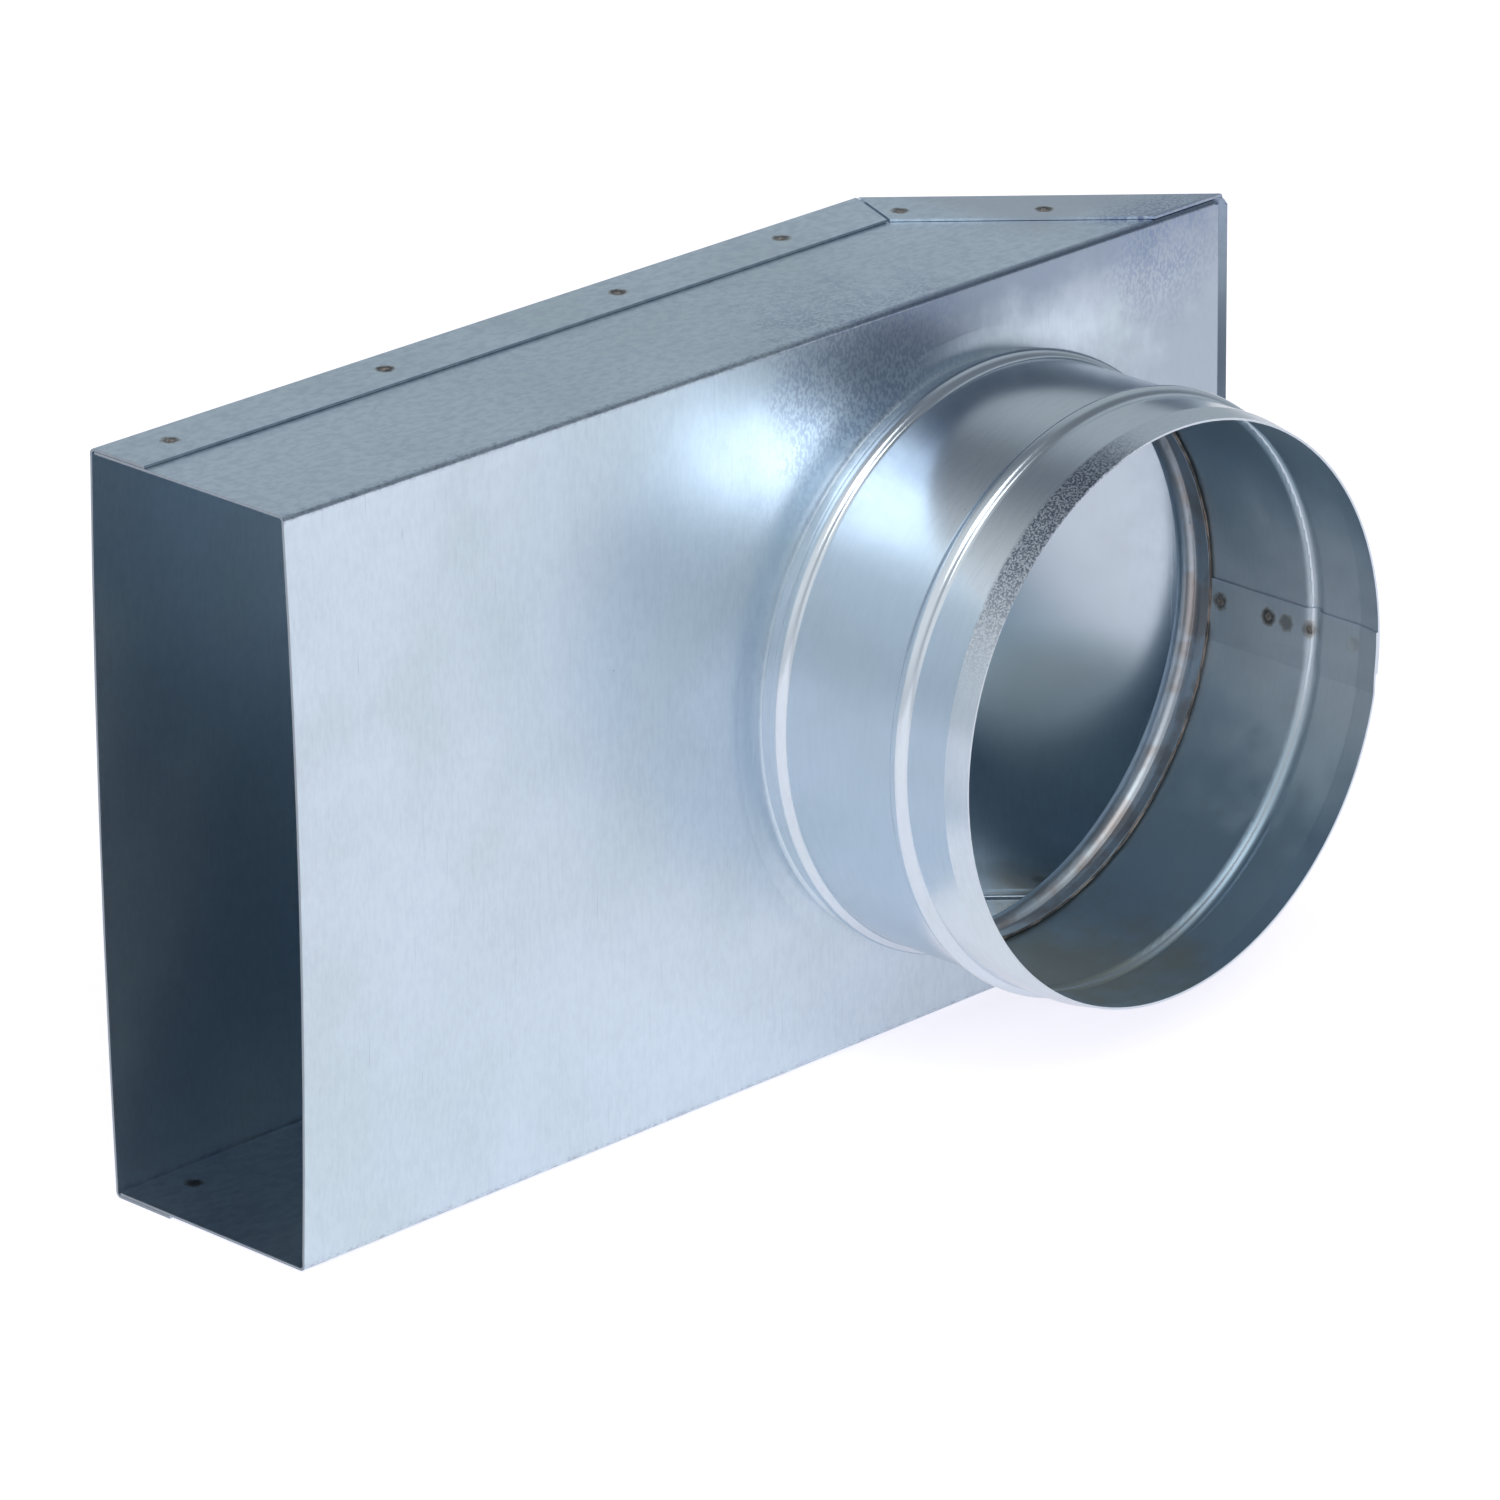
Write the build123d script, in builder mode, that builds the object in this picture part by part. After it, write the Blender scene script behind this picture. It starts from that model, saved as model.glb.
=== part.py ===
from build123d import *
import os
from math import atan, cos, degrees, radians, sin, sqrt, tan

# Flat duct transition in zinc coated sheet steel, all sizes in millimetres.
# A flat duct comes in from the open end at -X, a slanted wall turns the air,
# and it leaves through a round spigot towards -Y. The part stands on its
# lower laps at Z = 0, with the middle of its length and depth at X = Y = 0.

# Sheet and play
sheet = 0.7  # sheet of the box
fold_radius = 0.9  # inside radius of the box's folds
collar_sheet = 0.6  # sheet of the rolled spigot
fit_gap = 0.1  # play between sheets pushed over each other

# Box
duct_height = 200.0  # outside of the shell, flange to flange
duct_depth = 70.0  # front face to back face
front_length = 340.0  # open end to the tip of the slanted wall
slant_angle = 45.0  # slanted wall against the back panel
end_flange = 14.0  # shell's flange folded back inside the slanted wall
lip_height = 1.8  # lip along the slanted edge of the shell's flanges
corner_cut = 3.4  # cut off the free corners of the slanted wall

# Panels bulge a little at the open end, where nothing stiffens them
front_bow = 2.4
back_bow = 1.6
bow_length = 140.0  # over which the bulge runs out

# Laps of the cover, outside on the shell
lap_width = 20.0
mitre_gap = 0.9  # open cut between the back lap and the slanted lap

# Spot welds through lap and flange
weld_radius = 2.3
weld_dent = 0.25
back_weld_places = (17.0, 90.0, 172.0, 232.0)  # from the open end
slant_weld_places = (11.5, 49.5)  # from the bend, along the slanted wall
back_weld_inset = 10.5  # from the back face
slant_weld_inset = 13.0

# Round spigot
spigot_radius = 79.5  # outside, slides into a 160 mm round duct
spigot_reach = 73.0  # mouth in front of the front face
spigot_place = 241.0  # axis from the open end
lock_bead_place = 7.4  # middle of each bead, from the front face
stop_bead_place = 50.0
bead_width = 7.0
bead_height = 2.0
bead_crown = 2.6
taper_length = 7.0  # mouth drawn in so that the duct starts easily
taper_depth = 1.2

# Longitudinal seam of the spigot
seam_angle = 1.0  # free inner edge, degrees above +X
seam_lap = 12.0
ramp_angle = 4.0  # over which the sheet steps inwards under the lap
seam_weld_places = (17.0, 34.0, 40.5, 48.5, 64.0)  # from the front face
seam_weld_radius = 1.8
seam_weld_dent = 0.2

# Neck drawn out of the front panel into the spigot
neck_reach = 13.5
neck_root = 3.0  # outside radius between panel and neck
rise_radius = 24.0  # soft rise of the panel around the neck
rise_angle = 15.0

# Values worked out from those above
outer_fold = fold_radius + sheet
shell_floor = sheet + fit_gap
half_height = duct_height / 2
lap_top = half_height + shell_floor
mid_height = lap_top
overall_depth = spigot_reach + duct_depth + back_bow
front_face = spigot_reach - overall_depth / 2
back_face = front_face + duct_depth
open_end = -front_length / 2
tip = front_length / 2
web_end = 2 * outer_fold  # folded corner strips reach this far down each panel

# Slanted wall: its outer face runs from slant_start to slant_end
slant = radians(slant_angle)
slant_way = Vector(cos(slant), -sin(slant), 0)
slant_inward = Vector(-sin(slant), -cos(slant), 0)
slant_end = Vector(tip, front_face + sheet * cos(slant), mid_height)
slant_run = (back_face - slant_end.Y) / sin(slant)
slant_start = slant_end - slant_way * slant_run

# Local planes: X points from the outer face of a wall into the duct
front_plane = Plane((open_end, front_face, mid_height), x_dir=(0, 1, 0), z_dir=(1, 0, 0))
back_plane = Plane((open_end, back_face, mid_height), x_dir=(0, -1, 0), z_dir=(1, 0, 0))
slant_plane = Plane(slant_start, x_dir=slant_inward, z_dir=slant_way)

# Spigot axis, pointing out of the mouth
spigot_centre = Vector(open_end + spigot_place, front_face, mid_height)
spigot_axis = Axis(spigot_centre, (0, -1, 0))


def folded_pair(plane, *points, side):
    """Section of a folded strip above mid height and its mirror image below it."""
    with BuildSketch(plane) as section:
        with BuildLine():
            FilletPolyline(*points, radius=outer_fold)
            offset(amount=sheet, side=side)
        make_face()
        mirror(about=Plane.XZ)
    return section.sketch


def web_section(plane, web_half, bow):
    """Section of a panel between its folds, bulging outwards by bow at mid height."""
    with BuildSketch(plane) as section:
        with BuildLine():
            outside = ThreePointArc((0, -web_half), (-bow, 0), (0, web_half))
            inside = ThreePointArc((sheet, -web_half), (sheet - bow, 0), (sheet, web_half))
            Line(outside @ 0, inside @ 0)
            Line(outside @ 1, inside @ 1)
        make_face()
    return section.sketch


def flat_section(plane, web_half):
    """Section of a flat panel between its folds."""
    with BuildSketch(plane) as section:
        Rectangle(sheet, 2 * web_half, align=(Align.MIN, Align.CENTER))
    return section.sketch


def bowed_panel(plane, web_half, bow):
    """Sections of a bulge that runs out along a parabola, for a loft."""
    halfway = 0.5
    return [
        web_section(plane, web_half, bow),
        web_section(plane.offset(bow_length * halfway), web_half, bow * (1 - halfway) ** 2),
        flat_section(plane.offset(bow_length), web_half),
    ]


def radial_plane(angle):
    """Plane through the spigot axis: X points away from the axis, Y out of the mouth."""
    outwards = (cos(radians(angle)), 0, sin(radians(angle)))
    normal = (sin(radians(angle)), 0, -cos(radians(angle)))
    return Plane(spigot_centre, x_dir=outwards, z_dir=normal)


def bead(start, inset):
    """Three tangent arcs that swell a wall outwards, for a surface inset from the outside."""
    turn = 2 * degrees(atan(2 * bead_height / bead_width))
    root = bead_width / 2 / sin(radians(turn)) - bead_crown
    rise = JernArc(start, (0, 1), root + inset, -turn)
    crown = JernArc(rise @ 1, rise % 1, bead_crown - inset, 2 * turn)
    return JernArc(crown @ 1, crown % 1, root + inset, -turn)


def rise_height(clear):
    """Height of the drawn panel where it stands clear of the neck by this much."""
    across = 1 - clear / neck_root
    soft_rise = rise_radius * (1 - cos(radians(rise_angle)))
    return soft_rise + neck_root * (cos(radians(rise_angle)) - sqrt(1 - across**2))


# The neck leaves room for both layers of the spigot's seam
seam_layer = collar_sheet + fit_gap
neck_inset = 2 * seam_layer
neck_radius = spigot_radius - neck_inset
soft_reach = rise_radius * sin(radians(rise_angle))
root_reach = neck_root * (1 - sin(radians(rise_angle)))
rise_edge = neck_radius + soft_reach + root_reach


def collar_section(angle, inset):
    """Section of the spigot's wall, with its outside inset from the full radius."""
    wall = spigot_radius - inset
    foot = rise_height(neck_inset - inset - collar_sheet) + fit_gap
    with BuildSketch(radial_plane(angle)) as section:
        with BuildLine():
            lock_start = (wall, lock_bead_place - bead_width / 2)
            stop_start = (wall, stop_bead_place - bead_width / 2)
            taper_start = (wall, spigot_reach - taper_length)
            Line((wall, foot), lock_start)
            lock = bead(lock_start, inset)
            Line(lock @ 1, stop_start)
            stop = bead(stop_start, inset)
            Line(stop @ 1, taper_start)
            Line(taper_start, (wall - taper_depth, spigot_reach))
            offset(amount=collar_sheet, side=Side.LEFT)
        make_face()
    return section.sketch


def neck_section():
    """Section of the panel's rise and the neck, from the panel to the neck's free edge."""
    with BuildSketch(radial_plane(0)) as section:
        with BuildLine():
            lock_start = (neck_radius, lock_bead_place - bead_width / 2)
            rise = JernArc((rise_edge, 0), (-1, 0), rise_radius, -rise_angle)
            root = JernArc(rise @ 1, rise % 1, neck_root, rise_angle - 90)
            Line(root @ 1, lock_start)
            lock = bead(lock_start, neck_inset)
            Line(lock @ 1, (neck_radius, neck_reach))
            offset(amount=sheet, side=Side.LEFT)
        make_face()
    return section.sketch


def weld_spots(height):
    """Centres of the welds through the laps, at this height."""
    spots = []
    for place in back_weld_places:
        spots.append(Vector(open_end + place, back_face - back_weld_inset, height))
    for place in slant_weld_places:
        spot = slant_start + slant_way * place + slant_inward * slant_weld_inset
        spots.append(Vector(spot.X, spot.Y, height))
    return spots


def dent_ball(radius, depth):
    """Radius of the ball that leaves a dent of this radius and depth."""
    return (radius**2 + depth**2) / (2 * depth)


weld_ball = dent_ball(weld_radius, weld_dent)

# Front shell, whose flanges stop short of the cover's fold
flange_depth = duct_depth - sheet - fold_radius
web_half = half_height - web_end

# Its lips and end flange lie on the inside of the slanted wall
lip_inset = sheet + fit_gap
lip_seat = lip_inset + web_end

front_corners = folded_pair(
    front_plane,
    (0, web_half),
    (0, half_height),
    (flange_depth, half_height),
    side=Side.RIGHT,
)
slanted_lips = folded_pair(
    slant_plane.offset(web_end),
    (lip_seat, half_height),
    (lip_inset, half_height),
    (lip_inset, half_height - sheet - lip_height),
    side=Side.LEFT,
)

# The end flange folds back along the inside of the slanted wall
end_line = slant_start + slant_inward * lip_inset
end_corner = end_line + slant_way * ((end_line.Y - front_face) / sin(slant))
end_tangent = outer_fold * tan(radians(180 - slant_angle) / 2)
end_start = end_corner.X - end_tangent - sheet
end_back = end_corner - slant_way * end_flange
end_half = half_height - outer_fold

with BuildPart() as front_shell:
    # Flanges with their folds, cut back along the slanted wall
    extrude(front_corners, amount=end_start - open_end)
    split(bisect_by=Plane(slant_start + slant_inward * lip_seat, z_dir=slant_inward))
    extrude(slanted_lips, amount=slant_run - 2 * web_end - end_flange)

    # Front panel, bulging at the open end, and its end flange
    loft(bowed_panel(front_plane, web_half, front_bow))
    extrude(
        flat_section(front_plane.offset(bow_length), web_half),
        amount=end_start - open_end - bow_length,
    )
    with BuildSketch(Plane.XY.offset(mid_height - end_half)):
        with BuildLine():
            FilletPolyline(
                (end_start, front_face),
                (end_corner.X, end_corner.Y),
                (end_back.X, end_back.Y),
                radius=outer_fold,
            )
            offset(amount=sheet, side=Side.LEFT)
        make_face()
    extrude(amount=2 * end_half)

    # Neck for the spigot, drawn outwards round its hole
    with BuildSketch(Plane(spigot_centre, z_dir=(0, -1, 0))):
        Circle(rise_edge)
    extrude(amount=-sheet, mode=Mode.SUBTRACT)
    revolve(neck_section(), axis=spigot_axis)

    # Dents that the welds left on the inside of the flanges
    for side in (1, -1):
        flange_face = mid_height + side * (half_height - sheet)
        with Locations(*weld_spots(flange_face - side * (weld_ball - weld_dent))):
            Sphere(weld_ball, mode=Mode.SUBTRACT)

front_shell.part.label = "front_shell"

# Laps of the cover, each cut at the mitre, the slanted one also along the front
bisector = (Vector(0, -1, 0) + slant_inward).normalized()
across_mitre = Vector(-bisector.Y, bisector.X, 0)
lap_corners = ((0, lap_top - web_end), (0, lap_top), (lap_width, lap_top))

with BuildPart() as back_laps:
    extrude(folded_pair(back_plane, *lap_corners, side=Side.RIGHT), amount=front_length)
    split(
        bisect_by=Plane(slant_start - across_mitre * mitre_gap / 2, z_dir=across_mitre),
        keep=Keep.BOTTOM,
    )

with BuildPart() as slanted_laps:
    lap_start = slant_plane.offset(-lap_width)
    extrude(
        folded_pair(lap_start, *lap_corners, side=Side.RIGHT),
        amount=lap_width + slant_run,
    )
    split(bisect_by=Plane(slant_start + across_mitre * mitre_gap / 2, z_dir=across_mitre))
    split(bisect_by=Plane((0, slant_end.Y, 0), z_dir=(0, 1, 0)))

# Back cover
cover_web_half = lap_top - web_end
bow_end = open_end + bow_length

with BuildPart() as back_cover:
    # Back panel, bulging at the open end, then bent into the slanted wall
    loft(bowed_panel(back_plane, cover_web_half, back_bow))
    with BuildSketch(Plane.XY.offset(mid_height - cover_web_half)):
        with BuildLine():
            FilletPolyline(
                (bow_end, back_face),
                (slant_start.X, slant_start.Y),
                (slant_end.X, slant_end.Y),
                radius=outer_fold,
            )
            offset(amount=sheet, side=Side.RIGHT)
        make_face()
    extrude(amount=2 * cover_web_half)
    add(back_laps.part)
    add(slanted_laps.part)

    # The free corners of the slanted wall are cut off
    for side in (1, -1):
        corner_height = mid_height + side * lap_top
        with BuildSketch(Plane.XZ.offset(-slant_end.Y)):
            with BuildLine():
                Polyline(
                    (tip, corner_height),
                    (tip - corner_cut * cos(slant), corner_height),
                    (tip, corner_height - side * corner_cut),
                    close=True,
                )
            make_face()
        extrude(amount=corner_cut, both=True, mode=Mode.SUBTRACT)

    # Welds: a dent outside, and the fused spot between lap and flange
    for side in (1, -1):
        lap_face = mid_height + side * lap_top
        with Locations(*weld_spots(lap_face + side * (weld_ball - weld_dent))):
            Sphere(weld_ball, mode=Mode.SUBTRACT)
        with Locations(*weld_spots(mid_height + side * (half_height + fit_gap / 2))):
            Cylinder(weld_radius, fit_gap)

back_cover.part.label = "back_cover"

# Round spigot
lap_degrees = degrees(seam_lap / spigot_radius)
lap_edge = seam_angle - lap_degrees
ramp_start = collar_section(lap_edge - ramp_angle, 0)
ramp_finish = collar_section(lap_edge, seam_layer)

with BuildPart() as round_spigot:
    # The wall goes once round, steps in under its own free edge, and laps inside
    revolve(
        collar_section(lap_edge, 0),
        axis=spigot_axis,
        revolution_arc=360 - ramp_angle,
    )
    loft([ramp_start.face(), ramp_finish.face()], ruled=True)
    revolve(ramp_finish, axis=spigot_axis, revolution_arc=lap_degrees)

    # Dents of the seam's welds, on the inside
    seam_ball = dent_ball(seam_weld_radius, seam_weld_dent)
    weld_plane = radial_plane(seam_angle - lap_degrees / 2)
    inner_wall = spigot_radius - seam_layer - collar_sheet
    for place in seam_weld_places:
        spot = weld_plane.from_local_coords((inner_wall - seam_ball + seam_weld_dent, place))
        with Locations(spot):
            Sphere(seam_ball, mode=Mode.SUBTRACT)

round_spigot.part.label = "round_spigot"

os.makedirs("parts", exist_ok=True)
for piece in (front_shell, back_cover, round_spigot):
    export_step(piece.part, f"parts/{piece.part.label}.step")
    size = piece.part.bounding_box()
    print(piece.part.label, len(piece.part.solids()), "solid, volume", round(piece.part.volume, 1))
    print("  from", size.min, "to", size.max)
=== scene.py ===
# %% [markdown]
# # A flat duct transition in zinc coated steel
#
# The real object is folded from thin steel sheet that was dipped in molten zinc. A flat duct
# comes in at its open end, a slanted wall turns the air, and a round spigot leads it out.
# Its three sheets are already exact solids, so Blender has one job here: to make them look
# like zinc coated steel under soft light. This notebook makes the finishes, the small marks
# that the spot welder and the shears left, a floor, a room, a lamp and a camera.

# %% Load the model
import math

import bpy
from mathutils import Matrix, Vector


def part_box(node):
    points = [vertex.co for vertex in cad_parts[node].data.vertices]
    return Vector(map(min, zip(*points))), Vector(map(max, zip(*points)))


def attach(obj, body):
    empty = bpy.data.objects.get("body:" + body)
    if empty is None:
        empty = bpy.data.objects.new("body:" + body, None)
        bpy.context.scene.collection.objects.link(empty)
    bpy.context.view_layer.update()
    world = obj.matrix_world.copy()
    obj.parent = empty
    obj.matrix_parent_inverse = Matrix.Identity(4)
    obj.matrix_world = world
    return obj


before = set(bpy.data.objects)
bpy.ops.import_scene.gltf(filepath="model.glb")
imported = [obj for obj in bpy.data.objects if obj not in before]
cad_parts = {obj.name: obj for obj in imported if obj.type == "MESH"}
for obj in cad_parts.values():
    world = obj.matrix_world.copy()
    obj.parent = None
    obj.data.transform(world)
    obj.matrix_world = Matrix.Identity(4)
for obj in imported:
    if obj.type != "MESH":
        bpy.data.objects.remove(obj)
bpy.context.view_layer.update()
print("nodes:", sorted(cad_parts))

# %% [markdown]
# ## Sizes that the finishes need
#
# Patterns and marks belong to places on the sheets: a weld burns the zinc where the
# electrode stood, and the seam of the spigot lies at one angle. Most of these places can be
# read from the boxes of the pieces. The few others are real sizes, in millimetres.

# %% Sizes from the model
MM = 0.001
cover_low, cover_high = (Vector(corner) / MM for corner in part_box("back_cover"))
spigot_low, spigot_high = (Vector(corner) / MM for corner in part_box("round_spigot"))

open_end = cover_low.x
tip = cover_high.x
mid_height = cover_high.z / 2
mouth = spigot_low.y
spigot_axis_x = (spigot_low.x + spigot_high.x) / 2
print("open end at", round(open_end, 1), "mm, spigot axis at", round(spigot_axis_x, 1), "mm")

# %% Sizes of the sheets
SHEET = 0.7
SPIGOT_SHEET = 0.6
FIT_GAP = 0.1
SPIGOT_RADIUS = 79.5
SPIGOT_REACH = 73.0
NECK_RADIUS = 78.1
NECK_REACH = 13.5
DUCT_DEPTH = 70.0

front_face = mouth + SPIGOT_REACH
back_face = front_face + DUCT_DEPTH
print("front face at", round(front_face, 2), "mm, back face at", round(back_face, 2), "mm")

# %% [markdown]
# ## Helpers for colours and nodes
#
# Colours are written as the hex values that a colour picker shows. Cycles calculates with
# linear light, so the first function turns them into linear values.
#
# A material is a small network of nodes. The second function adds one node, sets its
# options, and fills its inputs, by name or in order: with a plain value, or with a link if
# it is given the output of another node. Many nodes hide the inputs and outputs that their
# options don't need. Only those in use are counted. It gives back the node's first output,
# which is nearly always the one that comes next. The others are at .node.outputs. The third
# function makes an empty material.


# %% Colour and node helpers
def linear(hex_colour):
    """The linear colour for an sRGB hex value such as "#BBC8D6"."""
    channels = []
    for start in (1, 3, 5):
        value = int(hex_colour[start : start + 2], 16) / 255
        channels.append(value / 12.92 if value <= 0.04045 else ((value + 0.055) / 1.055) ** 2.4)
    return (*channels, 1.0)


def add(tree, kind, inputs=(), **settings):
    """Adds a node with its settings, fills or links its inputs, and gives its first output."""
    node = tree.nodes.new(kind)
    for name, value in settings.items():
        setattr(node, name, value)
    if isinstance(inputs, dict):
        sockets = [node.inputs[name] for name in inputs]
        inputs = inputs.values()
    else:
        sockets = [socket for socket in node.inputs if socket.enabled]
    for socket, value in zip(sockets, inputs):
        if isinstance(value, bpy.types.NodeSocket):
            tree.links.new(value, socket)
        else:
            socket.default_value = value
    return next((socket for socket in node.outputs if socket.enabled), None)


def new_material(name):
    """An empty node material and its node tree."""
    material = bpy.data.materials.new(name)
    material.use_nodes = True
    material.node_tree.nodes.clear()
    return material, material.node_tree


print("zinc grey as linear light:", [round(value, 3) for value in linear("#BBC8D6")])

# %% [markdown]
# ## Where the spot welds are
#
# The laps of the cover lie outside on the flanges of the shell, and spot welds hold them
# together. Each weld burns the zinc on both faces of the joint, and some were hotter than
# others. The same places repeat on the upper and lower laps. Inside the round spigot, five
# welds hold its long seam.

# %% Welds on the laps
WELDS_FROM_OPEN_END = (17.0, 90.0, 172.0, 232.0)
WELD_HEAT = (0.6, 0.8, 0.75, 0.6)
WELD_INSET = 10.5
SLANTED_WELDS = (11.5, 49.5)
SLANTED_WELD_HEAT = (0.6, 0.8)
SLANTED_WELD_INSET = 13.0
SLANT = math.radians(45)

slant_way = Vector((math.cos(SLANT), -math.sin(SLANT), 0))
slant_inward = Vector((-math.sin(SLANT), -math.cos(SLANT), 0))
slant_end = Vector((tip, front_face + SHEET * math.cos(SLANT), 0))
slant_start = slant_end - slant_way * ((back_face - slant_end.y) / math.sin(SLANT))

lap_welds = [
    Vector((open_end + place, back_face - WELD_INSET, 0)) for place in WELDS_FROM_OPEN_END
]
lap_welds += [
    slant_start + slant_way * place + slant_inward * SLANTED_WELD_INSET for place in SLANTED_WELDS
]
lap_heat = WELD_HEAT + SLANTED_WELD_HEAT
print(len(lap_welds), "welds on each pair of laps")

# %% Welds on the seam
SEAM_ANGLE = 1.0
SEAM_LAP = 12.0
SEAM_WELDS = (17.0, 34.0, 40.5, 48.5, 64.0)
SEAM_HEAT = (0.5, 0.65, 0.4, 0.38, 0.1)

seam_weld_angle = math.radians(SEAM_ANGLE) - SEAM_LAP / SPIGOT_RADIUS / 2
seam_wall = SPIGOT_RADIUS - 2 * SPIGOT_SHEET - FIT_GAP
seam_outward = Vector((math.cos(seam_weld_angle), 0, math.sin(seam_weld_angle)))
spigot_centre = Vector((spigot_axis_x, front_face, mid_height))
seam_welds = [
    spigot_centre + seam_outward * seam_wall + Vector((0, -place, 0)) for place in SEAM_WELDS
]
print(len(seam_welds), "welds on the seam")

# %% [markdown]
# ## Patterns that both finishes share
#
# Zinc that freezes on steel sheet leaves fine crystals, about a millimetre wide. Rolling and
# folding add slow waves, scratches and a few specks. Each of these is a noise of its own,
# because they differ in size a hundredfold. Object coordinates in millimetres feed them, so
# that each size below is a real one.
#
# A noise is only a number from 0 to 1. Four limits make a pattern of it: while the number
# goes from the first limit to the second, the result goes smoothly from the third to the
# fourth. That result either fades an amount, or sets how strongly a tone covers a colour.


# %% Positions, noise and limits
SMOOTH = {"interpolation_type": "SMOOTHSTEP"}
COLOURS = {"data_type": "RGBA"}


def position_in_mm(tree):
    """Object coordinates, in millimetres."""
    place = add(tree, "ShaderNodeTexCoord").node.outputs["Object"]
    return add(tree, "ShaderNodeVectorMath", [place, 1 / MM], operation="SCALE")


def lumps(tree, position, size, detail=1.0, turn=(0, 0, 0)):
    """Noise whose lumps are this many millimetres wide, along each axis."""
    scale = tuple(1 / side for side in size)
    inputs = {"Vector": position, "Rotation": turn, "Scale": scale}
    placed = add(tree, "ShaderNodeMapping", inputs)
    inputs = {"Vector": placed, "Scale": 1.0, "Detail": detail, "Roughness": 0.6}
    return add(tree, "ShaderNodeTexNoise", inputs)


def faded(tree, amount, value, limits):
    """The amount, times a share that the value sets between its limits."""
    share = add(tree, "ShaderNodeMapRange", [value, *limits], **SMOOTH)
    return add(tree, "ShaderNodeMath", [amount, share], operation="MULTIPLY")


def toned(tree, colour, tone, value, limits):
    """The colour with a tone over it, as strong as the value sets between its limits."""
    share = add(tree, "ShaderNodeMapRange", [value, *limits], **SMOOTH)
    return add(tree, "ShaderNodeMix", [share, colour, linear(tone)], **COLOURS)


print("patterns are measured in millimetres")

# %% [markdown]
# ### Zinc coating
#
# Two tones of blue-grey follow the crystals, and a third, a little greener, lies over them
# in wide clouds. Scratches are the same noise, stretched until only thin lines pass a
# threshold. Specks are the middles of widely spaced Voronoi cells. The scratches and specks
# are drawn a little wider than the real ones, so that the picture can show them.

# %% Crystals and clouds
CLOUD = (60.0, 60.0, 60.0)
CLOUD_LIMITS = (0.40, 0.70, 0.0, 0.55)
CLEAR_CLOUD = (0.40, 0.62)
CRYSTAL_LIMITS = (0.40, 0.64, 0.0, 1.0)


def zinc_coating(tree, position, crystals, tones, contrast):
    """Colour, crystal pattern and cloud pattern of a zinc coating."""
    crystal = lumps(tree, position, crystals, detail=2.0)
    cloud = lumps(tree, position, CLOUD, detail=2.0)
    limits = [*CLEAR_CLOUD, contrast / 2, contrast]
    clear = add(tree, "ShaderNodeMapRange", [cloud, *limits], **SMOOTH)
    amount = faded(tree, clear, crystal, CRYSTAL_LIMITS)
    base, second, third = tones
    colour = add(tree, "ShaderNodeMix", [amount, linear(base), linear(second)], **COLOURS)
    return toned(tree, colour, third, cloud, CLOUD_LIMITS), crystal, cloud


print("clouds are", CLOUD[0], "mm wide")

# %% Scratches and specks
SCRATCH = (0.25, 0.25, 42.0)
SCRATCH_TONE = "#8793A2"
SCRATCH_LIMITS = (0.72, 0.77, 0.0, 0.3)
SPECK_CELL = 17.0
SPECK_RADIUS = 0.34
SPECK_TONE = "#68717D"


def handling_marks(tree, position, colour, turn):
    """The colour with thin scratches and a few dark specks over it."""
    lines = lumps(tree, position, SCRATCH, turn=turn)
    colour = toned(tree, colour, SCRATCH_TONE, lines, SCRATCH_LIMITS)
    cells = add(tree, "ShaderNodeTexVoronoi", {"Vector": position, "Scale": 1 / SPECK_CELL})
    size = SPECK_RADIUS / SPECK_CELL
    return toned(tree, colour, SPECK_TONE, cells, (size * 0.7, size, 0.5, 0.0))


print("specks", SPECK_RADIUS * 2, "mm wide, about", SPECK_CELL, "mm apart")

# %% [markdown]
# ### Films
#
# Damp, oil and fingers leave thin films on zinc, bluish or brownish, that fade out round a
# place. A film's strength follows the distance from that place, and one shared noise pushes
# the distance in and out, so that the edge is ragged.
# The same fading also lays a patch of painted shade on the box.

# %% A film round a place
RAGGED = (13.0, 13.0, 13.0)
FILM_SWING = 1.2
FILM_CORE = 0.2


def film(tree, position, ragged, place, reach, strongest):
    """How strong a thin film or patch of painted shade is, fading out round a place with a ragged
    edge.
    """
    away = add(tree, "ShaderNodeVectorMath", [position, place], operation="DISTANCE")
    swing = [ragged, reach * FILM_SWING, -reach * FILM_SWING / 2]
    swing = add(tree, "ShaderNodeMath", swing, operation="MULTIPLY_ADD")
    away = add(tree, "ShaderNodeMath", [away, swing])
    limits = [reach * FILM_CORE, reach, strongest, 0.0]
    return add(tree, "ShaderNodeMapRange", [away, *limits], **SMOOTH)


print("films have edges with lumps of", RAGGED[0], "mm")

# %% [markdown]
# ### Scorch marks
#
# A weld burns a small brown spot into the zinc, with a faint straw tint round it. Its tone
# depends only on the distance from the weld and on how hot that weld was. A short loop keeps
# the strongest of all welds at each point, and noise makes the edge uneven.

# %% Burnt zinc
SCORCH_CORE = 1.3
SCORCH_REACH = 3.12
SCORCH_LUMPS = (1.6, 1.6, 1.6)
SCORCH_SWING = 2.2
SCORCH_BROWN = "#45403E"
SCORCH_BROWN_LIMITS = (0.05, 0.75, 0.0, 0.92)
SCORCH_STRAW = "#A7A398"
SCORCH_STRAW_LIMITS = (0.0, 0.2, 0.0, 0.5)
SCORCH_ROUGHNESS = 0.5


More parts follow.
